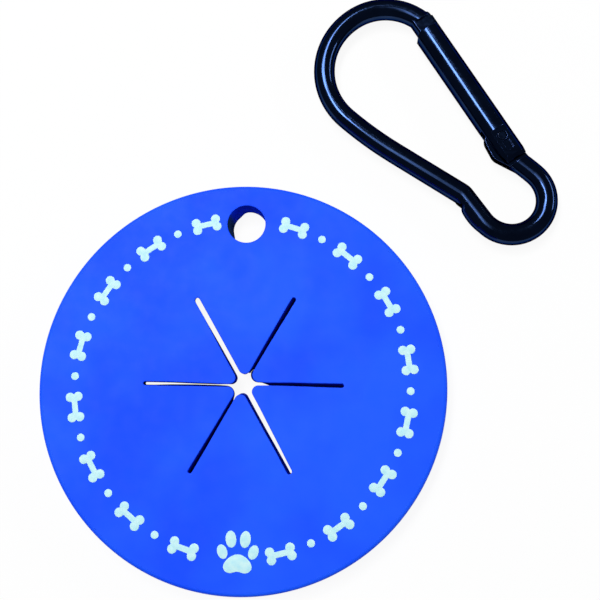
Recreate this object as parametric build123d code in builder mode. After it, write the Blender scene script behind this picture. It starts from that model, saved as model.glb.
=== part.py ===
import os
from math import atan2, cos, degrees, hypot, radians, sin

from build123d import *

# Silicone disc: six flaps between three crossing slits grip the neck of a tied bag
DISC_RADIUS = 32.5
DISC_THICKNESS = 4.6
RIM_ROUND = 0.6
SLIT_COUNT = 3
SLIT_REACH = 16.0
SLIT_WIDTH = 0.8
FLAP_TIP_ROUND = 1.0
HANG_HOLE_RADIUS = 3.1
HANG_HOLE_BAND = 3.2

# Carabiner: where its crown lies beside the disc, and how far its long axis leans from +Y
CROWN_BEARING = 74.5
CROWN_STANDOFF = 32.55
CARABINER_LEAN = 32.1

# Frame rod, bent from the crown down the spine and round the narrow eye
ROD_RADIUS = 1.76
GATE_SIDE_BEND = 9.46
GATE_SIDE_TURN = 66.8
SPINE_SIDE_BEND = 11.11
SPINE_SIDE_TURN = 106.9
SPINE_BOW = 64.3
SPINE_BOW_TURN = 9.0
SPINE_LENGTH = 12.7
CREASE_BEND = 1.9
CREASE_TURN = 21.4
EYE_LIMB_LENGTH = 5.0
EYE_BEND = 5.8
EYE_TURN = 191.6
ROOT_BEND = 33.3
ROOT_TURN = 5.3

# Press mark on the outer side of the crease: a step, and the lobe that it squeezes out
STEP_REACH = 1.6
STEP_INSET = 0.03
STEP_RISE = 1.1
LOBE_RADIUS = 1.5
LOBE_START = 2.4
LOBE_OFFSET = 0.42
LOBE_LEAN = 9.5
LOBE_BEND = 7.76
LOBE_TURN = 33.5

# Hinge end of the rod, pressed flat into a tang with an eccentric round nose
TANG_TURN = 16.25
TANG_REACH = 5.12
TANG_ROOT_RADIUS = 1.6
TANG_THICKNESS = 1.8
TANG_NOSE_RADIUS = 2.1
TANG_NOSE_OFFSET = 0.6
TANG_HEEL_RADIUS = 2.05
TANG_HEEL_OFFSET = 0.85
TANG_HEEL_DROP = 1.95

# Gate: a stout round bar, forked and pressed flat at the hinge and slotted at the latch
GATE_RADIUS = 2.36
GATE_TIP = 22.15
GATE_SWING = 28.0
FORK_REACH = 4.3
FORK_FACE_START = 1.4
FORK_FACE_HALF = 1.98
FORK_FACE_END = 3.55
FORK_END_HALF = 1.35
FORK_INNER_TAPER = 0.8
FORK_INNER_HALF = 1.6
FORK_OUTER_TAPER = 2.3
FORK_OUTER_HALF = 1.85
LATCH_CORNER_ROUND = 1.15
LATCH_WALL = 0.95
CRIMP_WIDTH = 1.2
CRIMP_LENGTH = 1.7
CRIMP_DEPTH = 0.4
CRIMP_DROP = 1.75
CRIMP_CORNER_ROUND = 0.25

# Latch end of the rod: a flat nose block and a thinner tongue inside the gate
NOSE_LENGTH = 1.9
NOSE_THICKNESS = 2.6
NOSE_ROUND = 1.95
NOSE_OFFSET = 0.25
NOSE_HALF = 2.2
NOSE_TOP_HALF = 1.2
TONGUE_THICKNESS = 1.8
TONGUE_LENGTH = 2.6

# Rivet, plunger and spring
RIVET_RADIUS = 0.8
RIVET_END_CHAMFER = 0.15
PLUNGER_RADIUS = 1.0
PLUNGER_LENGTH = 2.4
STEM_RADIUS = 0.4
STEM_LENGTH = 1.6
SPRING_WIRE = 0.3
SPRING_TURNS = 4
SPRING_PITCH = 1.42

# Clearances
SLOT_CLEARANCE = 0.1
SWING_CLEARANCE = 0.15
ROOT_CLEARANCE = 0.2
RIVET_RUNNING_FIT = 0.05
RIVET_SEAT_FIT = 0.01
PLUNGER_FIT = 0.08
SPRING_FIT = 0.08
SEAT_GAP = 0.05
TONGUE_END_CLEARANCE = 0.4
CUT_MARGIN = 1.0
ROUND_OVERLAP = 0.08

# Where the carabiner lies: its gate rests on the table beside the disc
crown_distance = DISC_RADIUS + CROWN_STANDOFF
carabiner_plane = Plane(
    origin=(
        crown_distance * cos(radians(CROWN_BEARING)),
        crown_distance * sin(radians(CROWN_BEARING)),
        GATE_RADIUS,
    ),
    x_dir=(cos(radians(CARABINER_LEAN)), sin(radians(CARABINER_LEAN)), 0),
    z_dir=(0, 0, 1),
)

# Centreline of the rod, from the latch end over the crown to the hinge end
with BuildLine(carabiner_plane) as rod_line:
    latch_bend = JernArc((0, 0), (1, 0), radius=GATE_SIDE_BEND, arc_size=-GATE_SIDE_TURN)
    latch_tail = Line(latch_bend @ 1, latch_bend @ 1 + (latch_bend % 1) * (NOSE_LENGTH + ROD_RADIUS))
    spine_bend = JernArc((0, 0), (-1, 0), radius=SPINE_SIDE_BEND, arc_size=SPINE_SIDE_TURN)
    spine_bow = JernArc(spine_bend @ 1, spine_bend % 1, radius=SPINE_BOW, arc_size=SPINE_BOW_TURN)
    spine = Line(spine_bow @ 1, spine_bow @ 1 + (spine_bow % 1) * SPINE_LENGTH)
    crease = JernArc(spine @ 1, spine % 1, radius=CREASE_BEND, arc_size=-CREASE_TURN)
    eye_limb = Line(crease @ 1, crease @ 1 + (crease % 1) * EYE_LIMB_LENGTH)
    eye = JernArc(eye_limb @ 1, eye_limb % 1, radius=EYE_BEND, arc_size=EYE_TURN)
    root_bend = JernArc(eye @ 1, eye % 1, radius=ROOT_BEND, arc_size=ROOT_TURN)
    root_tail = Line(root_bend @ 1, root_bend @ 1 + (root_bend % 1) * ROD_RADIUS)

# The gate pivots at the end of the tang, and its axis aims at the end of the latch bend
pivot = root_bend @ 1 + (root_bend % 1).rotate(Axis.Z, -TANG_TURN) * TANG_REACH
gate_axis = ((latch_bend @ 1) - pivot).normalized()
gate_plane = Plane(origin=pivot, x_dir=gate_axis.rotate(Axis.Z, -90), z_dir=(0, 0, 1))
side_plane = Plane(origin=pivot, x_dir=gate_axis, z_dir=gate_plane.x_dir)


def gate_section(height):
    # Plane across the gate, at a height along its axis from the pivot
    return Plane(origin=pivot + gate_axis * height, x_dir=gate_plane.x_dir, z_dir=gate_axis)


# Faces that the swinging gate's corners have to clear
nose_face = hypot(GATE_TIP, GATE_RADIUS) + SWING_CLEARANCE
rod_end_face = nose_face + NOSE_LENGTH
root_face = hypot(FORK_REACH, FORK_OUTER_HALF) + ROOT_CLEARANCE
cut_half_width = GATE_RADIUS + CUT_MARGIN
fork_roof = TANG_NOSE_RADIUS + TANG_NOSE_OFFSET * sin(radians(GATE_SWING)) + ROOT_CLEARANCE
slot_floor = GATE_TIP - TONGUE_LENGTH - TONGUE_END_CLEARANCE
bore_radius = PLUNGER_RADIUS + PLUNGER_FIT
plunger_tip = TANG_NOSE_RADIUS + SEAT_GAP
spring_seat = plunger_tip + PLUNGER_LENGTH + SEAT_GAP
spring_height = SPRING_TURNS * SPRING_PITCH
spring_radius = bore_radius - SPRING_FIT - SPRING_WIRE / 2
bore_end = spring_seat + spring_height + SPRING_WIRE + SEAT_GAP

# Disc: a plate with a flat back, a softly rounded face, the star of slits and the hanging hole
with BuildPart() as silicone_disc:
    with BuildSketch():
        Circle(DISC_RADIUS)
    extrude(amount=DISC_THICKNESS)
    face_rim = silicone_disc.faces().sort_by(Axis.Z)[-1].edges()
    fillet(face_rim, RIM_ROUND)
    with BuildSketch() as star:
        for turn in range(SLIT_COUNT):
            SlotOverall(2 * SLIT_REACH, SLIT_WIDTH, rotation=turn * 180 / SLIT_COUNT)
        flap_tips = star.vertices().group_by(lambda v: round(hypot(v.X, v.Y), 2))[0]
        fillet(flap_tips, FLAP_TIP_ROUND)
    extrude(amount=DISC_THICKNESS, mode=Mode.SUBTRACT)
    with BuildSketch():
        with Locations((0, DISC_RADIUS - HANG_HOLE_BAND - HANG_HOLE_RADIUS)):
            Circle(HANG_HOLE_RADIUS)
    extrude(amount=DISC_THICKNESS, mode=Mode.SUBTRACT)
silicone_disc.part.label = "silicone_disc"

# Nose block: flat on both faces, with round sides, and flush with the rod
nose_top = rod_end_face + ROD_RADIUS / 2
with BuildPart() as nose_block:
    with BuildSketch(gate_section(nose_face)):
        with Locations((NOSE_OFFSET, 0)):
            Circle(NOSE_ROUND)
    extrude(amount=nose_top - nose_face)
    with BuildSketch(gate_plane):
        with BuildLine():
            Polyline(
                (-NOSE_HALF, nose_face),
                (NOSE_HALF, nose_face),
                (NOSE_HALF, rod_end_face),
                (NOSE_TOP_HALF, nose_top),
                (-NOSE_TOP_HALF, nose_top),
                (-NOSE_HALF, rod_end_face),
                close=True,
            )
        make_face()
    extrude(amount=NOSE_THICKNESS / 2, both=True, mode=Mode.INTERSECT)

# Tongue: thinner and narrower, it stands in the gate's latch slot
with BuildPart() as tongue:
    with BuildSketch(gate_section(GATE_TIP - TONGUE_LENGTH)):
        Circle(GATE_RADIUS)
    extrude(amount=TONGUE_LENGTH + NOSE_LENGTH)
    with BuildSketch(gate_plane):
        with Locations((-GATE_RADIUS + LATCH_WALL + SLOT_CLEARANCE, GATE_TIP - TONGUE_LENGTH)):
            Rectangle(
                2 * GATE_RADIUS - LATCH_WALL,
                TONGUE_LENGTH + NOSE_LENGTH,
                align=(Align.MIN, Align.MIN),
            )
    extrude(amount=TONGUE_THICKNESS / 2, both=True, mode=Mode.INTERSECT)

# Lobe beside the crease: a short tube that swells from the rod's outer side and sinks back in
limb_plane = Plane(origin=crease @ 1, x_dir=crease % 1, z_dir=(0, 0, 1))
with BuildPart() as lobe:
    with BuildLine(limb_plane) as lobe_line:
        JernArc(
            (LOBE_START, -LOBE_OFFSET),
            (cos(radians(LOBE_LEAN)), -sin(radians(LOBE_LEAN))),
            radius=LOBE_BEND,
            arc_size=LOBE_TURN,
        )
    lobe_path = lobe_line.wire()
    lobe_side = (lobe_path % 0).cross(limb_plane.z_dir)
    with BuildSketch(Plane(origin=lobe_path @ 0, x_dir=lobe_side, z_dir=lobe_path % 0)):
        Circle(LOBE_RADIUS)
    sweep(path=lobe_path)
    with Locations(lobe_path @ 0):
        Sphere(LOBE_RADIUS)

# Frame: the bent rod, trimmed where the gate goes, with tang, nose block and tongue
spine_plane = Plane(origin=spine @ 1, x_dir=spine % 1, z_dir=(0, 0, 1))
root_in_gate = gate_plane.to_local_coords(root_bend @ 1)
with BuildPart() as carabiner_frame:
    rod_path = rod_line.wire()
    loop_side = (rod_path % 0).cross(carabiner_plane.z_dir)
    with BuildSketch(Plane(origin=rod_path @ 0, x_dir=loop_side, z_dir=rod_path % 0)):
        Circle(ROD_RADIUS)
    sweep(path=rod_path)
    with BuildSketch(gate_plane):
        with Locations((0, -root_face)):
            Rectangle(2 * cut_half_width, root_face + rod_end_face, align=(Align.CENTER, Align.MIN))
    extrude(amount=GATE_RADIUS, both=True, mode=Mode.SUBTRACT)
    with BuildSketch(spine_plane):
        with BuildLine():
            Polyline(
                (STEP_REACH, STEP_INSET - ROD_RADIUS),
                (0, -STEP_INSET - ROD_RADIUS),
                (0, -STEP_RISE - ROD_RADIUS),
                (STEP_REACH + STEP_RISE, -STEP_RISE - ROD_RADIUS),
                close=True,
            )
        make_face()
    extrude(amount=GATE_RADIUS, both=True, mode=Mode.SUBTRACT)
    add(lobe.part)
    with BuildSketch(gate_plane):
        with Locations((-TANG_NOSE_OFFSET, 0)):
            Circle(TANG_NOSE_RADIUS)
        with Locations((-TANG_HEEL_OFFSET, -TANG_HEEL_DROP)):
            Circle(TANG_HEEL_RADIUS)
        with Locations((root_in_gate.X, root_in_gate.Y)):
            Circle(TANG_ROOT_RADIUS)
        make_hull()
    extrude(amount=TANG_THICKNESS / 2, both=True)
    with BuildSketch(gate_plane):
        Circle(RIVET_RADIUS + RIVET_RUNNING_FIT)
    extrude(amount=TANG_THICKNESS, both=True, mode=Mode.SUBTRACT)
    add(nose_block.part)
    add(tongue.part)
carabiner_frame.part.label = "carabiner_frame"

# Gate: the bar with its fork, latch slot, spring bore, rivet hole and crimp
side_profile = [
    (-FORK_REACH, FORK_END_HALF),
    (-FORK_FACE_END, FORK_FACE_HALF),
    (FORK_FACE_START, FORK_FACE_HALF),
    (FORK_FACE_START, cut_half_width),
    (GATE_TIP, cut_half_width),
]
lower_profile = [(along, -half) for along, half in reversed(side_profile)]
with BuildPart() as gate:
    with BuildSketch(gate_section(-FORK_REACH)):
        Circle(GATE_RADIUS)
    extrude(amount=FORK_REACH + GATE_TIP)
    with BuildSketch(side_plane):
        with BuildLine():
            Polyline(*side_profile, *lower_profile, close=True)
        make_face()
    extrude(amount=cut_half_width, both=True, mode=Mode.INTERSECT)
    with BuildSketch(gate_plane):
        with Locations((-GATE_RADIUS, GATE_TIP)):
            Rectangle(
                2 * LATCH_CORNER_ROUND,
                2 * LATCH_CORNER_ROUND,
            )
        with Locations((-GATE_RADIUS + LATCH_CORNER_ROUND, GATE_TIP - LATCH_CORNER_ROUND)):
            Circle(LATCH_CORNER_ROUND + ROUND_OVERLAP, mode=Mode.SUBTRACT)
    extrude(amount=GATE_RADIUS, both=True, mode=Mode.SUBTRACT)
    for taper, half, side in (
        (FORK_INNER_TAPER, FORK_INNER_HALF, -1),
        (FORK_OUTER_TAPER, FORK_OUTER_HALF, 1),
    ):
        with BuildSketch(gate_plane):
            with BuildLine():
                Polyline(
                    (side * GATE_RADIUS, -taper),
                    (side * half, -FORK_REACH),
                    (side * half, -FORK_REACH - CUT_MARGIN),
                    (side * cut_half_width, -FORK_REACH - CUT_MARGIN),
                    (side * cut_half_width, -taper),
                    close=True,
                )
            make_face()
        extrude(amount=GATE_RADIUS, both=True, mode=Mode.SUBTRACT)
    with BuildSketch(gate_plane):
        with Locations((0, -FORK_REACH - CUT_MARGIN)):
            Rectangle(
                2 * GATE_RADIUS + CUT_MARGIN,
                FORK_REACH + CUT_MARGIN + fork_roof,
                align=(Align.CENTER, Align.MIN),
            )
    extrude(amount=TANG_THICKNESS / 2 + SLOT_CLEARANCE, both=True, mode=Mode.SUBTRACT)
    with BuildSketch(gate_plane):
        with Locations((-GATE_RADIUS + LATCH_WALL, slot_floor)):
            Rectangle(
                2 * GATE_RADIUS,
                TONGUE_LENGTH + TONGUE_END_CLEARANCE + CUT_MARGIN,
                align=(Align.MIN, Align.MIN),
            )
    extrude(amount=TONGUE_THICKNESS / 2 + SLOT_CLEARANCE, both=True, mode=Mode.SUBTRACT)
    with BuildSketch(gate_section(0)):
        Circle(bore_radius)
    extrude(amount=bore_end, mode=Mode.SUBTRACT)
    with BuildSketch(gate_plane):
        Circle(RIVET_RADIUS + RIVET_SEAT_FIT)
    extrude(amount=GATE_RADIUS, both=True, mode=Mode.SUBTRACT)
    with BuildSketch(gate_plane.offset(FORK_FACE_HALF - CRIMP_DEPTH)):
        with Locations((0, -CRIMP_DROP)):
            RectangleRounded(CRIMP_WIDTH, CRIMP_LENGTH, CRIMP_CORNER_ROUND)
    extrude(amount=CRIMP_DEPTH, mode=Mode.SUBTRACT)
gate.part.label = "gate"

# Rivet: it seats in the fork's two ears, and the tang turns on it
with BuildPart() as hinge_rivet:
    with BuildSketch(gate_plane.offset(-FORK_FACE_HALF)):
        Circle(RIVET_RADIUS)
    extrude(amount=2 * FORK_FACE_HALF)
    chamfer(hinge_rivet.edges().filter_by(GeomType.CIRCLE), RIVET_END_CHAMFER)
hinge_rivet.part.label = "hinge_rivet"

# Plunger: its flat end rides on the tang's eccentric nose, its stem guides the spring
with BuildPart() as gate_plunger:
    with BuildSketch(gate_section(plunger_tip)):
        Circle(PLUNGER_RADIUS)
    extrude(amount=PLUNGER_LENGTH)
    with BuildSketch(gate_section(plunger_tip + PLUNGER_LENGTH)):
        Circle(STEM_RADIUS)
    extrude(amount=STEM_LENGTH)
gate_plunger.part.label = "gate_plunger"

# Spring: one open coil of six-sided wire in the gate's bore, behind the plunger
spring_start = pivot + gate_axis * (spring_seat + SPRING_WIRE / 2)
with BuildPart() as gate_spring:
    with BuildLine() as coil:
        Helix(SPRING_PITCH, spring_height, spring_radius, center=spring_start, direction=gate_axis)
    with BuildSketch(Plane(origin=coil.line @ 0, z_dir=coil.line % 0)):
        RegularPolygon(SPRING_WIRE / 2, 6)
    sweep(path=coil.line, is_frenet=True)
gate_spring.part.label = "gate_spring"

os.makedirs("parts", exist_ok=True)
for piece in (silicone_disc, carabiner_frame, gate, hinge_rivet, gate_plunger, gate_spring):
    export_step(piece.part, f"parts/{piece.part.label}.step")

hinge = gate_plane.origin
print(f"pivot {hinge.X:.3f} {hinge.Y:.3f} {hinge.Z:.3f}")
print(f"gate axis {gate_axis.X:.6f} {gate_axis.Y:.6f}, angle {degrees(atan2(gate_axis.Y, gate_axis.X)):.2f}")
print(f"gap between spring coils {SPRING_PITCH - SPRING_WIRE:.2f}")
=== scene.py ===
from collections import namedtuple
from math import asin, cos, pi, radians, sin, tanh

import bpy
import numpy as np
from mathutils import Matrix, Vector
from mathutils.geometry import delaunay_2d_cdt


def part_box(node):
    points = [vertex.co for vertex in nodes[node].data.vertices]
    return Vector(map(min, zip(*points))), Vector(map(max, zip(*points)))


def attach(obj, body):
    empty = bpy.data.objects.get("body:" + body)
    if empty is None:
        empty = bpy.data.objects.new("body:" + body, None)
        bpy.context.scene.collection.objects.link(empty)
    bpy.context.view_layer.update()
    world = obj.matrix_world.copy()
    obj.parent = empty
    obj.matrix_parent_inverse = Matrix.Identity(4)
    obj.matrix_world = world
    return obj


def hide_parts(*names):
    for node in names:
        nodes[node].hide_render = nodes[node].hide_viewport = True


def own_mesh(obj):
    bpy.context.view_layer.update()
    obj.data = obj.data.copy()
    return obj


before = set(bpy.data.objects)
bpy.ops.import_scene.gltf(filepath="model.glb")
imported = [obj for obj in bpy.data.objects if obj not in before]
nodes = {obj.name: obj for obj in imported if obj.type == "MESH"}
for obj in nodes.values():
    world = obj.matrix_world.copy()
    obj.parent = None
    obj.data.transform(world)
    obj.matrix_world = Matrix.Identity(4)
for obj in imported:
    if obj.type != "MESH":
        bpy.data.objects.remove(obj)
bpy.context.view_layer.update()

MM = 0.001

# Camera, in metres: nearly straight above the disc, leaning a little towards its hanging hole
CAMERA_PLACE = (0.01640, -0.00938, 0.15462)
CAMERA_RIGHT = Vector((0.998718, 0.021459, -0.045843))
CAMERA_UP = Vector((-0.014207, 0.988121, 0.153022))
CAMERA_LENS = 57.0
CAMERA_SENSOR = 36.0
CAMERA_CLIP = (0.01, 10.0)

# Softboxes, in metres: name, place, long side's direction, size and power. They all face one place.
LAMP_TARGET = (0.030, 0.045, 0.0)
SOFTBOXES = (
    ("key_softbox", (-0.171, 0.128, 0.610), (0.271, 0.962, -0.042), (0.264, 0.095), 2.05),
    ("crown_softbox", (-0.115, 0.278, 0.534), (0.84, 0.15, -0.19), (0.26, 0.10), 1.50),
    ("latch_softbox", (-0.105, -0.002, 0.583), (0.55, 0.81, 0.19), (0.219, 0.060), 0.15),
    ("sheen_softbox", (-0.045, 0.005, 0.590), (0.484, 0.875, -0.010), (0.300, 0.070), 0.105),
    ("fill_softbox", (0.500, 0.210, 0.240), (-0.333, 0.943, 0.0), (0.35, 0.05), 0.62),
)
WORLD_COLOUR = (0.86, 0.92, 1.0, 1.0)
WORLD_STRENGTH = 0.12

# Floor, in metres, and the share of plain white in it for the camera and for gloss
FLOOR_HALF = 1.5
FLOOR_DROP = 0.00001
FLOOR_COLOUR = (0.90, 0.90, 0.90, 1.0)
FLOOR_WHITE = (1.0, 1.0, 1.0, 1.0)
FLOOR_WHITE_STRENGTH = 1.0
FLOOR_WHITE_SHARE = 0.92

# Meshes: greatest angle in degrees that shades smooth, and how close two points count as one
SMOOTH_ANGLE = 35.0
INK_SMOOTH_ANGLE = 60.0
SAME_POINT = 1e-7

# Disc, in millimetres: a hair smaller than the CAD disc. Its edges are rounded over these widths,
# the narrow ones through one ring at a share of the width from the corner. SUPPORT is a narrow band
# beside each edge that keeps the flat faces evenly shaded.
DISC_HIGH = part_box("silicone_disc")[1] / MM
DISC_INSET = 0.005
RADIUS = DISC_HIGH.x - DISC_INSET
THICKNESS = DISC_HIGH.z
RIM_ROUND = 0.6
BACK_EDGE = 0.10
LIP = 0.09
EDGE_MIDDLE = 0.3
SUPPORT = 0.14

# Rings and points of the disc's mesh, and the spacing of the points on its two flat faces. Points
# along a slit's side crowd towards the flap's tip. Wall steps are shares of the way to the back.
RIM_STEPS = 7
RIM_POINTS = 240
HOLE_POINTS = 84
SIDE_POINTS = 24
SIDE_CROWDING = 2.0
TIP_POINTS = 11
END_POINTS = 9
WALL_STEPS = (0.10, 0.25, 0.45, 0.70, 1.0)
FACE_GRID = 1.15
BACK_GRID = 2.6
GRID_KEEP_OFF = 0.45

# Hanging hole, in millimetres, and the bearings in degrees between which its back rim bulges inwards
HOLE_CENTRE = np.array((0.05, 26.11))
HOLE_RADIUS = 3.08
HOLE_BACK_BULGE = 0.52
HOLE_BULGE_FROM, HOLE_BULGE_TO, HOLE_BULGE_SOFT = 112.0, 216.0, 12.0

# Painted shade on the walls of the openings: 0 as on the open face, 1 the deepest. The lip has a
# share of it. The hole's wall is in full painted shade beyond one bearing, and elsewhere is painted
# darker towards the back.
LIP_SHARE = 7 / 15
SLIT_SHADE = 0.75
HOLE_SHADE_LEAST = 0.5
HOLE_SHADE_FROM, HOLE_SHADE_SOFT, HOLE_SHADE_DEPTH = 150.0, 9.0, 0.4

# Each half slit: bearing, reach on the face and on the back, then where its low and high sides lie
# across the bearing, on the face and on the back, at these distances from the centre
HalfSlit = namedtuple("HalfSlit", "bearing face_reach back_reach face_sides back_sides")
LOW_SIDE, HIGH_SIDE = 0, 1
FACE_STATIONS = (2.9, 4.4, 8.0, 12.0, 15.0)
BACK_STATIONS = (2.2, 2.4, 2.9, 3.5, 4.4, 8.0, 12.0, 15.0)
SLITS = (
    HalfSlit(
        0, 16.23, 16.23,
        ((0.0, 0.48), (0.03, 0.45), (0.0, 0.52), (-0.08, 0.48), (-0.12, 0.50)),
        ((0.25, 0.75), (0.25, 0.75), (0.24, 0.72), (0.18, 0.51),
         (0.10, 0.20), (0.10, 0.20), (0.05, 0.15), (0.0, 0.10)),
    ),
    HalfSlit(
        60, 16.29, 16.29,
        ((-0.48, 0.0), (-0.44, 0.05), (-0.40, 0.16), (-0.40, 0.24), (-0.40, 0.30)),
        ((0.28, 0.62), (0.28, 0.30), (0.27, 0.30), (-0.08, -0.05),
         (-0.30, 0.02), (-0.26, 0.04), (-0.20, 0.06), (-0.16, 0.08)),
    ),
    HalfSlit(
        120, 15.80, 16.75,
        ((-0.76, 0.12), (-0.76, 0.16), (-0.72, 0.14), (-0.68, 0.08), (-0.64, 0.16)),
        ((-0.70, 0.14), (-0.70, 0.14), (-0.70, 0.14), (-0.70, 0.15),
         (-0.70, 0.17), (-0.70, 0.24), (-0.70, 0.36), (-0.70, 0.44)),
    ),
    HalfSlit(
        180, 15.65, 16.20,
        ((-0.14, 0.28), (-0.17, 0.28), (-0.24, 0.28), (-0.31, 0.31), (-0.29, 0.28)),
        ((-0.38, -0.16), (-0.38, -0.16), (-0.38, -0.16), (-0.36, -0.19),
         (-0.33, -0.23), (-0.38, -0.26), (-0.48, -0.20), (-0.49, -0.08)),
    ),
    HalfSlit(
        240, 15.95, 15.95,
        ((-0.20, 0.20), (-0.20, 0.24), (-0.16, 0.32), (-0.16, 0.44), (-0.16, 0.48)),
        ((-0.50, -0.10), (-0.455, -0.065), (-0.34, 0.01), (-0.31, 0.02),
         (-0.26, 0.04), (-0.18, 0.10), (-0.06, 0.18), (0.0, 0.24)),
    ),
    HalfSlit(
        300, 15.90, 15.95,
        ((-0.28, 0.84), (-0.25, 0.84), (-0.24, 0.76), (-0.18, 0.68), (-0.20, 0.60)),
        ((-0.16, 0.84), (-0.16, 0.84), (-0.16, 0.84), (-0.16, 0.84),
         (-0.16, 0.84), (-0.12, 0.76), (-0.04, 0.68), (0.0, 0.62)),
    ),
)

# Flaps, from the one after the first half slit round: rounding of the free end on the face and on
# the back, and how far the free end has sunk
FLAP_ROUND = (1.17, 1.0, 1.0, 1.0, 1.0, 1.0)
FLAP_BACK_ROUND = (1.25, 0.72, 1.0, 1.4, 0.95, 1.3)
FLAP_SINK = (0.03, 0.07, 0.02, 0.05, 0.09, 0.04)
FLAP_SINK_REACH = 15.0
FLAP_SINK_POWER = 1.5

# Printed marks, in millimetres. The edge levels are shares of its width inwards and of its rise.
# The runs of bones and dots start and end at these bearings in degrees.
INK_RISE = 0.04
INK_SINK = 0.03
INK_EDGE = 0.05
INK_EDGE_LEVELS = ((0.0, 0.35), (0.4, 0.8), (1.0, 1.0))
RING_RADIUS = 26.7
RUNS = ((73.0, -75.0), (104.0, 252.0))
BONES_PER_RUN = 8
BONE_LOBE_PLACE = (1.62, 0.62)
BONE_LOBE_RADIUS = 0.74
BONE_LOBE_POINTS = 15
BONE_SHAFT_HALF = 0.46
DOT_RADIUS = 0.62
DOT_POINTS = 28

# Paw, in millimetres: place from its centre and half sizes, and for the toes a turn in degrees
PAW_CENTRE = (0.26, -25.83)
PAW_TOES = (
    (-1.12, 2.05, 0.84, 1.28, 6.0),
    (1.12, 2.05, 0.84, 1.28, -6.0),
    (-2.42, 0.14, 0.78, 1.12, 20.0),
    (2.42, 0.14, 0.78, 1.12, -20.0),
)
PAW_TOE_POINTS = 40
PAW_PAD = (0.0, -1.75, 2.15, 1.55)
PAW_PAD_POINTS = 60
PAW_PAD_NARROWING = 0.26
PAW_PAD_DENT = 0.50
PAW_PAD_DENT_WIDTH = 0.95

# Silicone: patches on the face, dust, and painted shade on the walls: half shade and the deepest shade
SILICONE_DEEP = (0.004, 0.072, 0.990)
SILICONE_LIGHT = (0.009, 0.102, 1.0)
SILICONE_DUST = (0.10, 0.22, 0.95)
SILICONE_DUST_SHARE = 0.05
SILICONE_PAINTED_HALF_SHADE = (0.004, 0.034, 1.0)
SILICONE_PAINTED_SHADE = (0.016, 0.045, 0.12)
HALF_SHADE = 0.5
SILICONE_ROUGHNESS = (0.52, 0.62)
SILICONE_GLOSS = 0.12

# Ink
INK_DARK = (0.48, 0.82, 0.90)
INK_LIGHT = (0.61, 0.89, 0.90)
INK_ROUGHNESS = (0.5, 0.66)
INK_GLOSS = 0.2

# Metal. Edges are found by the cosine between the true and a rounded normal: none, then full.
ANODISED_BLACK = (0.0137, 0.0277, 0.075)
# Colours of the paler edges: wear, and a painted glint along the edges.
WORN_BLUE_AND_EDGE_GLINT = (0.08, 0.14, 0.42)
WORN_METAL_AND_EDGE_GLINT = (0.30, 0.33, 0.40)
STEEL_GREY = (0.42, 0.42, 0.43)
METAL_TONES = (0.85, 1.15)
METAL_TINT = (0.06, 0.07, 0.11, 1.0)
METAL_ROUGH_SPREAD = (-0.03, 0.05)
GRAIN_STRETCH = (0.08, 1.0, 1.0)
LEAST_WEAR = 0.1
EDGE_ROUGHENING = 0.2
EDGE_COSINES = (0.985, 0.80)
EDGE_SAMPLES = 8

# Middle part of a noise's values, where nearly all of them lie
NOISE_RANGE = (0.3, 0.7)

# Gate's direction, away from its hinge. The coil spring in it, in millimetres: its fixed end, and
# where it lies along the gate from that end after these turns, counted from the plunger.
GATE_TURN = radians(122.98)
GATE_ALONG = np.array([cos(GATE_TURN), sin(GATE_TURN), 0.0])
COIL_END = np.array([35.628, 50.382, 2.36])
COIL_RADIUS, COIL_WIRE_RADIUS = 0.85, 0.15
COIL_TURNS = (0.0, 0.75, 4.40, 5.15)
COIL_HEIGHTS = (-5.858, -5.62, -0.46, -0.222)
COIL_RINGS, COIL_SIDES = 145, 8


# Mesh helpers

def mesh_piece(name, points, faces, material, smooth_angle=SMOOTH_ANGLE):
    """A new object from points in millimetres and faces."""
    data = bpy.data.meshes.new(name)
    data.from_pydata([tuple(float(v) * MM for v in p) for p in points], [], faces)
    data.validate()
    data.update()
    data.polygons.foreach_set("use_smooth", [True] * len(data.polygons))
    data.set_sharp_from_angle(angle=radians(smooth_angle))
    data.materials.append(material)
    piece = bpy.data.objects.new(name, data)
    bpy.context.scene.collection.objects.link(piece)
    return piece


def circle(radius, count):
    """Points round a circle, counterclockwise."""
    return ellipse(radius, radius, count)


def ellipse(half_x, half_y, count):
    """Points round an ellipse, counterclockwise."""
    a = np.arange(count) * 2 * pi / count
    return np.stack((half_x * np.cos(a), half_y * np.sin(a)), 1)


def inside(loop, points):
    """Which of the points lie inside a closed loop."""
    result = np.zeros(len(points), bool)
    x, y = points[:, 0], points[:, 1]
    for (ax, ay), (bx, by) in zip(loop, np.roll(loop, -1, axis=0)):
        crosses = (ay > y) != (by > y)
        if crosses.any():
            at = ax + (y - ay) * (bx - ax) / (by - ay)
            result ^= crosses & (x < at)
    return result


def nearest(loop, points):
    """Each point's distance to the closest corner of a loop."""
    return np.sqrt(((points[:, None, :] - loop[None, :, :]) ** 2).sum(2)).min(1)


def grid_points(spacing, outer, openings):
    """Rows of points that fill a disc of radius outer, clear of its edge and of the openings."""
    step = spacing * 3 ** 0.5 / 2
    rows = np.arange(-outer, outer, step)
    points = [
        (x + (i % 2) * spacing / 2, y)
        for i, y in enumerate(rows)
        for x in np.arange(-outer, outer, spacing)
    ]
    points = np.array(points)
    points = points[np.hypot(points[:, 0], points[:, 1]) < outer - GRID_KEEP_OFF]
    for loop in openings:
        points = points[~inside(loop, points)]
        points = points[nearest(loop, points) > GRID_KEEP_OFF]
    return points


def counterclockwise(points, face):
    """A triangle's corners in counterclockwise order."""
    a, b, c = face
    (ax, ay), (bx, by), (cx, cy) = points[a], points[b], points[c]
    turn = (bx - ax) * (cy - ay) - (by - ay) * (cx - ax)
    return (a, b, c) if turn > 0 else (a, c, b)


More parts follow.
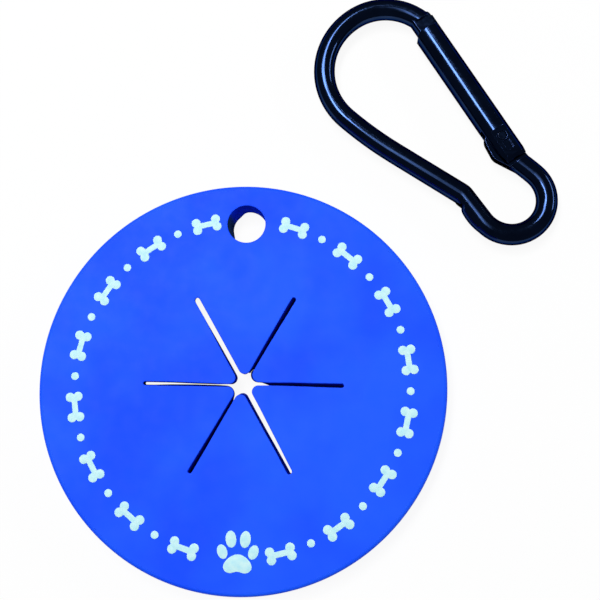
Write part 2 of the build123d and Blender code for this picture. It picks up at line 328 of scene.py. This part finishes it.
def fill(loops, extra):
    """Triangles between the first loop and the loops in it. Their corners are numbered through
    the loops' points, in the order of the loops, and then the extra points."""
    points = np.vstack([*loops, extra])
    edges, start = [], 0
    for loop in loops:
        count = len(loop)
        edges += [(start + i, start + (i + 1) % count) for i in range(count)]
        start += count
    vertices = [Vector(p) for p in points]
    _, _, triangles, origins, _, _ = delaunay_2d_cdt(vertices, edges, [], 0, SAME_POINT)
    faces = [tuple(origins[i][0] for i in face) for face in triangles]
    centres = np.array([points[list(face)].mean(0) for face in faces])
    keep = inside(loops[0], centres)
    for loop in loops[1:]:
        keep &= ~inside(loop, centres)
    return [counterclockwise(points, face) for face, kept in zip(faces, keep) if kept]


# Outlines of the openings

def axes_at(bearing):
    """Unit vectors along a bearing and across it."""
    a = radians(bearing)
    return np.array((cos(a), sin(a))), np.array((-sin(a), cos(a)))


def side_at(slit, side, face, r):
    """Where a side of a half slit lies across its bearing, at a distance from the centre."""
    stations = FACE_STATIONS if face else BACK_STATIONS
    pairs = slit.face_sides if face else slit.back_sides
    return float(np.interp(r, stations, [pair[side] for pair in pairs]))


def end_at(slit, face):
    """The distance from the centre at which a half slit's sides give way to its round end."""
    reach = slit.face_reach if face else slit.back_reach
    return reach - (side_at(slit, HIGH_SIDE, face, reach) - side_at(slit, LOW_SIDE, face, reach)) / 2


def side_points(slit, side, face, grow, distances):
    """Points of a half slit's side, widened by grow, at distances from the centre."""
    along, normal = axes_at(slit.bearing)
    widened = grow if side == HIGH_SIDE else -grow
    return [r * along + (side_at(slit, side, face, r) + widened) * normal for r in distances]


def end_points(slit, face, grow):
    """Points round a half slit's outer end, without those of its sides."""
    along, normal = axes_at(slit.bearing)
    r = end_at(slit, face)
    low, high = side_at(slit, LOW_SIDE, face, r), side_at(slit, HIGH_SIDE, face, r)
    half, middle = (high - low) / 2 + grow, (high + low) / 2
    angles = np.linspace(-pi / 2, pi / 2, END_POINTS + 2)[1:-1]
    return [(r + half * cos(a)) * along + (middle + half * sin(a)) * normal for a in angles]


def tip_points(centre, radius, first_way, last_way):
    """Points round a flap's tip, between two ways from the centre of its rounding."""
    from_angle, to_angle = np.arctan2(*first_way[::-1]), np.arctan2(*last_way[::-1])
    sweep = (to_angle - from_angle) % (2 * pi)
    if sweep > pi:
        sweep -= 2 * pi
    angles = from_angle + sweep * np.linspace(0, 1, TIP_POINTS + 2)[1:-1]
    return [centre + radius * np.array((cos(a), sin(a))) for a in angles]


def star_outline(face, grow):
    """The star's closed outline, counterclockwise, widened by grow. Also the flap of each point.
    Each flap's round tip touches the high side of one half slit and the low side of the next."""
    side_steps = np.linspace(0, 1, SIDE_POINTS) ** SIDE_CROWDING
    points, flaps = [], []
    count = len(SLITS)
    for k in range(count):
        here, there = SLITS[k], SLITS[(k + 1) % count]
        along_a, normal_a = axes_at(here.bearing)
        along_b, normal_b = axes_at(there.bearing)
        tip_round = (FLAP_ROUND if face else FLAP_BACK_ROUND)[k] - grow
        first = side_at(here, HIGH_SIDE, face, 0) + grow
        second = side_at(there, LOW_SIDE, face, 0) - grow
        centre = np.linalg.solve(
            np.array((normal_a, normal_b)), np.array((first + tip_round, second - tip_round))
        )
        start_a, start_b = centre @ along_a, centre @ along_b
        inwards = start_a + (end_at(here, face) - start_a) * side_steps[::-1]
        outwards = start_b + (end_at(there, face) - start_b) * side_steps
        points += side_points(here, HIGH_SIDE, face, grow, inwards)
        points += tip_points(centre, tip_round, -normal_a, normal_b)
        points += side_points(there, LOW_SIDE, face, grow, outwards)
        points += end_points(there, face, grow)
        flaps += [k] * (2 * SIDE_POINTS + TIP_POINTS)
        flaps += [k if i < END_POINTS / 2 else (k + 1) % count for i in range(END_POINTS)]
    return np.array(points), flaps


def hole_outline(face, grow):
    """The hanging hole's rim, which bulges inwards on one side at the back."""
    points = []
    for i in range(HOLE_POINTS):
        bearing = 360.0 * i / HOLE_POINTS
        r = HOLE_RADIUS + grow
        if not face:
            bulge = tanh((bearing - HOLE_BULGE_FROM) / HOLE_BULGE_SOFT)
            bulge -= tanh((bearing - HOLE_BULGE_TO) / HOLE_BULGE_SOFT)
            r -= HOLE_BACK_BULGE * bulge / 2
        points.append(HOLE_CENTRE + r * axes_at(bearing)[0])
    return np.array(points)


def hole_shade(height):
    """How deep in painted shade the hole's wall lies, for each point round its rim."""
    bearing = np.arange(HOLE_POINTS) * 360.0 / HOLE_POINTS
    side = (1 + np.tanh((bearing - HOLE_SHADE_FROM) / HOLE_SHADE_SOFT)) / 2
    depth = 1 - height / THICKNESS
    share = np.maximum(side, depth ** 2 * HOLE_SHADE_DEPTH)
    return HOLE_SHADE_LEAST + (1 - HOLE_SHADE_LEAST) * share


def opening_levels(outline):
    """Rings down an opening's wall, from the face to the back: points, height and share of painted
    shade.
    """
    face_line, back_line = outline(True, 0.0), outline(False, 0.0)
    wall_top = THICKNESS - LIP
    rings = [
        (outline(True, LIP + SUPPORT), THICKNESS, 0.0),
        (outline(True, LIP), THICKNESS, 0.0),
        (outline(True, LIP * EDGE_MIDDLE), THICKNESS - LIP * EDGE_MIDDLE, LIP_SHARE),
        (face_line, wall_top, 1.0),
    ]
    for t in WALL_STEPS:
        rings.append((face_line * (1 - t) + back_line * t, wall_top * (1 - t), 1.0))
    rings.append((outline(False, SUPPORT), 0.0, 0.0))
    return rings


def rim_levels():
    """Rings down the disc's side, from the face to the back: radius and height."""
    levels = [(RADIUS - RIM_ROUND - SUPPORT, THICKNESS)]
    for i in range(RIM_STEPS + 1):
        a = pi / 2 * i / RIM_STEPS
        levels.append((RADIUS - RIM_ROUND * (1 - sin(a)), THICKNESS - RIM_ROUND * (1 - cos(a))))
    levels += [
        (RADIUS, THICKNESS / 2),
        (RADIUS, BACK_EDGE),
        (RADIUS - BACK_EDGE * EDGE_MIDDLE, BACK_EDGE * EDGE_MIDDLE),
        (RADIUS - BACK_EDGE, 0.0),
        (RADIUS - BACK_EDGE - SUPPORT, 0.0),
    ]
    return levels


# Disc

def sunk(points, heights, flaps=None):
    """Heights after each flap's free end has sunk a little. Where the flap of each point isn't
    given, it is found from the point's bearing."""
    r = np.hypot(points[:, 0], points[:, 1])
    share = np.clip(1 - r / FLAP_SINK_REACH, 0, 1) ** FLAP_SINK_POWER
    if flaps is None:
        bearing = np.degrees(np.arctan2(points[:, 1], points[:, 0])) % 360
        flaps = (bearing // (360 / len(SLITS))).astype(int) % len(SLITS)
    drop = np.array(FLAP_SINK)[flaps] * share
    return heights * (1 - drop / THICKNESS)


def disc_piece(material):
    """The disc: the openings' walls, the rim, and a plate of triangles on the face and on the back."""
    points, walls, faces = [], [], []

    def add_points(flat, height, wall, flaps=None):
        """Adds points at a height, with how deep in painted shade each one lies. Returns their
        numbers.
        """
        start = sum(len(p) for p in points)
        heights = sunk(flat, np.full(len(flat), float(height)), flaps)
        points.append(np.column_stack((flat, heights)))
        walls.extend(np.broadcast_to(wall, len(flat)))
        return list(range(start, start + len(flat)))

    def join(rings, outward):
        """Adds the faces between each ring and the next."""
        for upper, lower in zip(rings, rings[1:]):
            for i in range(len(upper)):
                j = (i + 1) % len(upper)
                quad = (upper[i], lower[i], lower[j], upper[j])
                faces.append(quad if outward else quad[::-1])

    star_flaps = star_outline(True, 0.0)[1]
    star = opening_levels(lambda face, grow: star_outline(face, grow)[0])
    hole = opening_levels(hole_outline)
    star_rings = [add_points(flat, z, share * SLIT_SHADE, star_flaps) for flat, z, share in star]
    hole_rings = [add_points(flat, z, share * hole_shade(z)) for flat, z, share in hole]
    join(star_rings, False)
    join(hole_rings, False)
    rim_rings = [add_points(circle(r, RIM_POINTS), z, 0.0) for r, z in rim_levels()]
    join(rim_rings, True)

    for level, height, spacing in ((0, THICKNESS, FACE_GRID), (-1, 0.0, BACK_GRID)):
        rings = (rim_rings[level], star_rings[level], hole_rings[level])
        flat = np.vstack(points)[:, :2]
        loops = [flat[ring] for ring in rings]
        extra = grid_points(spacing, np.hypot(*loops[0][0]), loops[1:])
        order = [*rings[0], *rings[1], *rings[2], *add_points(extra, height, 0.0)]
        for face in fill(loops, extra):
            corners = tuple(order[i] for i in face)
            faces.append(corners if height > 0 else corners[::-1])

    piece = mesh_piece("disc_body", np.vstack(points), faces, material)
    # The wall attribute holds each point's painted shade.
    painted_shade_share = piece.data.attributes.new("wall", "FLOAT", "POINT")
    painted_shade_share.data.foreach_set("value", np.array(walls, np.float32))
    return piece


# Printed marks

def slab(outline, centre, turn):
    """A low flat mark with bevelled edges: its points and faces. The outline is counterclockwise."""
    along, across = axes_at(turn)
    spin = np.stack((along, across), 1)
    tangent = np.roll(outline, -1, axis=0) - np.roll(outline, 1, axis=0)
    normal = np.stack((-tangent[:, 1], tangent[:, 0]), 1)
    normal /= np.linalg.norm(normal, axis=1)[:, None]
    levels = [(outline, -INK_SINK)]
    for inward, rise in INK_EDGE_LEVELS:
        levels.append((outline + normal * INK_EDGE * inward, INK_RISE * rise))

    count = len(outline)
    points, faces = [], []
    for ring, rise in levels:
        flat = ring @ spin.T + np.array(centre)
        points += [(x, y, THICKNESS + rise) for x, y in flat]
    top = len(points) - count
    for start in range(0, top, count):
        for i in range(count):
            j = (i + 1) % count
            faces.append((start + i, start + j, start + count + j, start + count + i))
    for face in fill([flat], np.empty((0, 2))):
        faces.append(tuple(top + i for i in face))
    return points, faces


def bone_outline():
    """A bone along X: four round lobes and a shaft."""
    x, y = BONE_LOBE_PLACE
    r = BONE_LOBE_RADIUS
    a = np.linspace(-asin(y / r), pi + asin((y - BONE_SHAFT_HALF) / r), BONE_LOBE_POINTS)
    lobe = np.stack((x + r * np.cos(a), y + r * np.sin(a)), 1)
    half = np.vstack((lobe, (lobe * (-1, 1))[::-1][:-1]))
    return np.vstack((half, (half * (-1, -1))[:-1]))


def pad_outline():
    """The paw's pad: an oval that narrows upwards and is dented below."""
    _, _, half_x, half_y = PAW_PAD
    a = np.arange(PAW_PAD_POINTS) * 2 * pi / PAW_PAD_POINTS
    x = half_x * np.cos(a) * (1 - PAW_PAD_NARROWING * np.sin(a))
    y = half_y * np.sin(a)
    low = np.clip(-np.sin(a), 0, 1)
    y = y + PAW_PAD_DENT * low * np.exp(-(x / PAW_PAD_DENT_WIDTH) ** 2)
    return np.stack((x, y), 1)


def marks_piece(name, marks, material):
    """One piece from several slabs, each given as outline, centre and turn."""
    points, faces = [], []
    for outline, centre, turn in marks:
        more_points, more_faces = slab(outline, centre, turn)
        start = len(points)
        points += more_points
        faces += [tuple(start + i for i in face) for face in more_faces]
    return mesh_piece(name, points, faces, material, INK_SMOOTH_ANGLE)


def ring_marks():
    """Two runs round the disc of bones with dots between them."""
    marks = []
    last = 2 * BONES_PER_RUN - 2
    for start, end in RUNS:
        for i in range(last + 1):
            bearing = start + (end - start) * i / last
            a = radians(bearing)
            outline = bone_outline() if i % 2 == 0 else circle(DOT_RADIUS, DOT_POINTS)
            marks.append((outline, (RING_RADIUS * cos(a), RING_RADIUS * sin(a)), bearing - 90))
    return marks


def paw_marks():
    """Four toes and a pad."""
    x, y = PAW_CENTRE
    marks = []
    for dx, dy, half_x, half_y, turn in PAW_TOES:
        marks.append((ellipse(half_x, half_y, PAW_TOE_POINTS), (x + dx, y + dy), turn))
    marks.append((pad_outline(), (x + PAW_PAD[0], y + PAW_PAD[1]), 0.0))
    return marks


# Material helpers

def new_material(name):
    """A new material, its node tree and its main shader."""
    material = bpy.data.materials.new(name)
    material.use_nodes = True
    tree = material.node_tree
    return material, tree, tree.nodes["Principled BSDF"]


def put(tree, kind, **values):
    """A new node with settings, and values for its inputs under their names with _ for spaces."""
    made = tree.nodes.new(kind)
    for key, value in values.items():
        if hasattr(made, key):
            setattr(made, key, value)
        else:
            made.inputs[key.replace("_", " ")].default_value = value
    return made


def noise(tree, size, detail=3.0, vector=None):
    """Noise whose features are about size millimetres wide."""
    made = put(tree, "ShaderNodeTexNoise", Scale=1 / (size * MM), Detail=detail)
    if vector is None:
        vector = put(tree, "ShaderNodeTexCoord").outputs["Object"]
    tree.links.new(vector, made.inputs["Vector"])
    return made.outputs["Fac"]


def ramp(tree, value, *stops):
    """A colour ramp over value, from pairs of place and colour."""
    made = put(tree, "ShaderNodeValToRGB")
    while len(made.color_ramp.elements) < len(stops):
        made.color_ramp.elements.new(0.5)
    for element, (place, colour) in zip(made.color_ramp.elements, stops):
        element.position = place
        element.color = (*colour, 1.0)
    tree.links.new(value, made.inputs["Fac"])
    return made.outputs["Color"]


def span(tree, value, source, target):
    """value mapped from one range to another, and held within it."""
    made = put(
        tree, "ShaderNodeMapRange",
        From_Min=source[0], From_Max=source[1], To_Min=target[0], To_Max=target[1],
    )
    tree.links.new(value, made.inputs["Value"])
    return made.outputs["Result"]


def blend_colours(tree, share, first, second):
    """A colour between first and a fixed second one. A mix node's colours are inputs 6 and 7."""
    made = put(tree, "ShaderNodeMix", data_type="RGBA")
    tree.links.new(share, made.inputs[0])
    tree.links.new(first, made.inputs[6])
    made.inputs[7].default_value = (*second, 1.0)
    return made.outputs[2]


def maths(tree, operation, first, second):
    """An operation on an output and an output or a number."""
    made = put(tree, "ShaderNodeMath", operation=operation)
    tree.links.new(first, made.inputs[0])
    if isinstance(second, float):
        made.inputs[1].default_value = second
    else:
        tree.links.new(second, made.inputs[1])
    return made.outputs["Value"]


def bump(tree, height, depth, strength, under=None):
    """A bump whose full height is depth millimetres."""
    made = put(tree, "ShaderNodeBump", Strength=strength, Distance=depth * MM)
    tree.links.new(height, made.inputs["Height"])
    if under is not None:
        tree.links.new(under, made.inputs["Normal"])
    return made.outputs["Normal"]


def edge_share(tree, radius):
    """Close to 1 along sharp edges and 0 on open faces, and a normal that is rounded there.
    A mix node's vectors are inputs 4 and 5."""
    rounded = put(tree, "ShaderNodeBevel", samples=EDGE_SAMPLES, Radius=radius * MM)
    geometry = put(tree, "ShaderNodeNewGeometry")
    dot = put(tree, "ShaderNodeVectorMath", operation="DOT_PRODUCT")
    tree.links.new(rounded.outputs["Normal"], dot.inputs[0])
    tree.links.new(geometry.outputs["Normal"], dot.inputs[1])
    share = span(tree, dot.outputs["Value"], EDGE_COSINES, (0.0, 1.0))
    mixed = put(tree, "ShaderNodeMix", data_type="VECTOR")
    tree.links.new(share, mixed.inputs[0])
    tree.links.new(geometry.outputs["Normal"], mixed.inputs[4])
    tree.links.new(rounded.outputs["Normal"], mixed.inputs[5])
    return share, mixed.outputs[1]


def grain_vector(tree, turn):
    """The object's coordinates, drawn out along a direction in the plane."""
    mapping = put(tree, "ShaderNodeMapping", Rotation=(0.0, 0.0, -turn), Scale=GRAIN_STRETCH)
    tree.links.new(put(tree, "ShaderNodeTexCoord").outputs["Object"], mapping.inputs["Vector"])
    return mapping.outputs["Vector"]


# Materials

def silicone_material():
    """Blue silicone: satin and faintly uneven on the face, matt in the openings, with painted shade
    there.
    """
    material, tree, shader = new_material("blue_silicone")
    wall = put(tree, "ShaderNodeAttribute", attribute_name="wall").outputs["Fac"]
    # Painted shade: on_wall brings half shade and makes the walls matt, in_shade the deepest shade.
    on_wall = span(tree, wall, (0.0, HALF_SHADE), (0.0, 1.0))
    in_shade = span(tree, wall, (HALF_SHADE, 1.0), (0.0, 1.0))

    patches = noise(tree, size=14.0, detail=2.0)
    tone = ramp(tree, patches, (0.35, SILICONE_DEEP), (0.65, SILICONE_LIGHT))
    specks = noise(tree, size=0.22, detail=2.0)
    dust = span(tree, specks, (0.66, 0.78), (0.0, SILICONE_DUST_SHARE))
    tone = blend_colours(tree, dust, tone, SILICONE_DUST)
    tone = blend_colours(tree, on_wall, tone, SILICONE_PAINTED_HALF_SHADE)
    tone = blend_colours(tree, in_shade, tone, SILICONE_PAINTED_SHADE)
    tree.links.new(tone, shader.inputs["Base Color"])

    rough = span(tree, noise(tree, size=2.5, detail=4.0), NOISE_RANGE, SILICONE_ROUGHNESS)
    tree.links.new(maths(tree, "MAXIMUM", rough, on_wall), shader.inputs["Roughness"])
    gloss = span(tree, wall, (0.0, HALF_SHADE), (SILICONE_GLOSS, 0.0))
    tree.links.new(gloss, shader.inputs["Specular IOR Level"])
    waves = bump(tree, noise(tree, size=6.0, detail=2.0), depth=0.06, strength=0.35)
    grain = bump(tree, noise(tree, size=0.16), depth=0.006, strength=0.6, under=waves)
    tree.links.new(grain, shader.inputs["Normal"])
    return material


def ink_material():
    """Pale printed ink, a little uneven."""
    material, tree, shader = new_material("pale_ink")
    tone = ramp(tree, noise(tree, size=0.9), (0.35, INK_DARK), (0.68, INK_LIGHT))
    tree.links.new(tone, shader.inputs["Base Color"])
    rough = span(tree, noise(tree, size=0.5), NOISE_RANGE, INK_ROUGHNESS)
    tree.links.new(rough, shader.inputs["Roughness"])
    shader.inputs["Specular IOR Level"].default_value = INK_GLOSS
    grain = bump(tree, noise(tree, size=0.2), depth=0.008, strength=0.5)
    tree.links.new(grain, shader.inputs["Normal"])
    return material


def metal_material(name, base, worn_and_glint, wear, rough, edge_radius, grain_turn=None):
    """Metal with a satin grain, faint scratches, and paler edges from wear and a painted glint."""
    material, tree, shader = new_material(name)
    vector = None if grain_turn is None else grain_vector(tree, grain_turn)
    edges, rounded = edge_share(tree, edge_radius)

    chips = span(tree, noise(tree, size=0.9), (0.34, 0.58), (LEAST_WEAR * wear, wear))
    dark, light = (tuple(tone * c for c in base) for tone in METAL_TONES)
    shade = ramp(tree, noise(tree, size=3.0), (0.3, dark), (0.7, light))
    # The edges are paler: wear in chips, and a painted glint along them.
    shade = blend_colours(tree, maths(tree, "MULTIPLY", edges, chips), shade, worn_and_glint)
    tree.links.new(shade, shader.inputs["Base Color"])
    shader.inputs["Metallic"].default_value = 1.0
    shader.inputs["Specular Tint"].default_value = METAL_TINT

    rough_range = [rough + spread for spread in METAL_ROUGH_SPREAD]
    satin = span(tree, noise(tree, size=0.6, detail=4.0, vector=vector), NOISE_RANGE, rough_range)
    satin = maths(tree, "ADD", satin, maths(tree, "MULTIPLY", edges, EDGE_ROUGHENING))
    tree.links.new(satin, shader.inputs["Roughness"])
    lines = bump(tree, noise(tree, size=0.12, vector=vector), depth=0.001, strength=0.5, under=rounded)
    waves = bump(tree, noise(tree, size=1.6, detail=2.0), depth=0.004, strength=0.4, under=lines)
    tree.links.new(waves, shader.inputs["Normal"])
    return material


def floor_material():
    """Pale floor: it keeps the object's shadow, and shows near white to the camera and to gloss."""
    material = bpy.data.materials.new("floor_paper")
    material.use_nodes = True
    tree = material.node_tree
    tree.nodes.clear()
    output = put(tree, "ShaderNodeOutputMaterial")
    paper = put(tree, "ShaderNodeBsdfDiffuse", Color=FLOOR_COLOUR)
    white = put(tree, "ShaderNodeEmission", Color=FLOOR_WHITE, Strength=FLOOR_WHITE_STRENGTH)
    path = put(tree, "ShaderNodeLightPath")
    seen = maths(tree, "MAXIMUM", path.outputs["Is Camera Ray"], path.outputs["Is Glossy Ray"])
    seen = maths(tree, "MAXIMUM", seen, path.outputs["Is Transmission Ray"])
    mix = put(tree, "ShaderNodeMixShader")
    tree.links.new(maths(tree, "MULTIPLY", seen, FLOOR_WHITE_SHARE), mix.inputs["Fac"])
    tree.links.new(paper.outputs["BSDF"], mix.inputs[1])
    tree.links.new(white.outputs["Emission"], mix.inputs[2])
    tree.links.new(mix.outputs["Shader"], output.inputs["Surface"])
    return material


# Spring and floor

def coil_piece(material):
    """The spring: round wire coiled along the gate, with its end turns closed."""
    up = np.array([0.0, 0.0, 1.0])
    across_gate = np.cross(up, GATE_ALONG)
    turns = np.linspace(0.0, COIL_TURNS[-1], COIL_RINGS)
    angles = pi + 2 * pi * turns
    heights = np.interp(turns, COIL_TURNS, COIL_HEIGHTS)
    outward = np.outer(np.cos(angles), across_gate) + np.outer(np.sin(angles), up)
    centres = COIL_END + np.outer(heights, GATE_ALONG) + COIL_RADIUS * outward
    onward = np.gradient(centres, axis=0)
    onward /= np.linalg.norm(onward, axis=1)[:, None]
    sideways = np.cross(onward, outward)
    points, faces = [], []
    for centre, a, b in zip(centres, outward, sideways):
        for turn in 2 * pi * np.arange(COIL_SIDES) / COIL_SIDES:
            points.append(centre + COIL_WIRE_RADIUS * (a * cos(turn) + b * sin(turn)))
    for first in range(0, len(points) - COIL_SIDES, COIL_SIDES):
        for j in range(COIL_SIDES):
            k = (j + 1) % COIL_SIDES
            faces.append((first + j, first + k, first + COIL_SIDES + k, first + COIL_SIDES + j))
    faces.append(tuple(range(COIL_SIDES))[::-1])
    faces.append(tuple(range(len(points) - COIL_SIDES, len(points))))
    return mesh_piece("gate_coil", points, faces, material)


def floor_piece(material):
    """A square just below the object."""
    data = bpy.data.meshes.new("floor")
    corners = [(-1, -1), (1, -1), (1, 1), (-1, 1)]
    points = [(x * FLOOR_HALF, y * FLOOR_HALF, -FLOOR_DROP) for x, y in corners]
    data.from_pydata(points, [], [(0, 1, 2, 3)])
    data.materials.append(material)
    piece = bpy.data.objects.new("floor", data)
    bpy.context.scene.collection.objects.link(piece)
    return piece


# The object

disc = disc_piece(silicone_material())
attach(disc, "disc")
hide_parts("silicone_disc")

ink = ink_material()
ring = marks_piece("ring_marks", ring_marks(), ink)
paw = marks_piece("paw_mark", paw_marks(), ink)
for piece in (ring, paw):
    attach(piece, "disc")

# The paler edges on the anodised parts and the rivet are wear and a painted glint along them.
finishes = {
    "carabiner_frame": metal_material(
        "black_anodised_rod", ANODISED_BLACK, WORN_BLUE_AND_EDGE_GLINT, wear=0.55, rough=0.12, edge_radius=0.2,
    ),
    "gate": metal_material(
        "black_anodised_bar", ANODISED_BLACK, WORN_BLUE_AND_EDGE_GLINT, wear=0.40, rough=0.12, edge_radius=0.2,
        grain_turn=GATE_TURN,
    ),
    "hinge_rivet": metal_material(
        "blackened_rivet", ANODISED_BLACK, WORN_METAL_AND_EDGE_GLINT, wear=0.5, rough=0.16, edge_radius=0.10,
    ),
    "gate_plunger": metal_material(
        "steel_follower", STEEL_GREY, WORN_METAL_AND_EDGE_GLINT, wear=0.3, rough=0.30, edge_radius=0.06,
    ),
    "gate_spring": metal_material(
        "spring_wire", STEEL_GREY, WORN_METAL_AND_EDGE_GLINT, wear=0.3, rough=0.28, edge_radius=0.04,
    ),
}
for name, material in finishes.items():
    for slot in nodes[name].material_slots:
        slot.material = material

coil = coil_piece(finishes["gate_spring"])
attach(coil, "gate")
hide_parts("gate_spring")
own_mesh(coil)

floor = floor_piece(floor_material())


# Light and camera

def facing(right, up, back):
    """The rotation that turns an object's axes to these three directions."""
    return Matrix((right, up, back)).transposed().to_4x4()


def softbox(name, place, long_side, size, power):
    """An area lamp that faces the lamps' common target."""
    data = bpy.data.lights.new(name, "AREA")
    data.shape = "RECTANGLE"
    data.size, data.size_y = size
    data.energy = power
    lamp = bpy.data.objects.new(name, data)
    back = (Vector(place) - Vector(LAMP_TARGET)).normalized()
    along = Vector(long_side)
    along = (along - back * along.dot(back)).normalized()
    lamp.matrix_world = Matrix.Translation(place) @ facing(along, back.cross(along), back)
    bpy.context.scene.collection.objects.link(lamp)


for lamp_values in SOFTBOXES:
    softbox(*lamp_values)

world = bpy.data.worlds.new("studio")
world.use_nodes = True
background = world.node_tree.nodes["Background"]
background.inputs["Color"].default_value = WORLD_COLOUR
background.inputs["Strength"].default_value = WORLD_STRENGTH
bpy.context.scene.world = world

camera_data = bpy.data.cameras.new("camera")
camera_data.lens = CAMERA_LENS
camera_data.sensor_width = CAMERA_SENSOR
camera_data.clip_start, camera_data.clip_end = CAMERA_CLIP
camera = bpy.data.objects.new("camera", camera_data)
camera_turn = facing(CAMERA_RIGHT, CAMERA_UP, CAMERA_RIGHT.cross(CAMERA_UP))
camera.matrix_world = Matrix.Translation(CAMERA_PLACE) @ camera_turn
bpy.context.scene.collection.objects.link(camera)
bpy.context.scene.camera = camera
bpy.context.scene.view_settings.view_transform = "Standard"
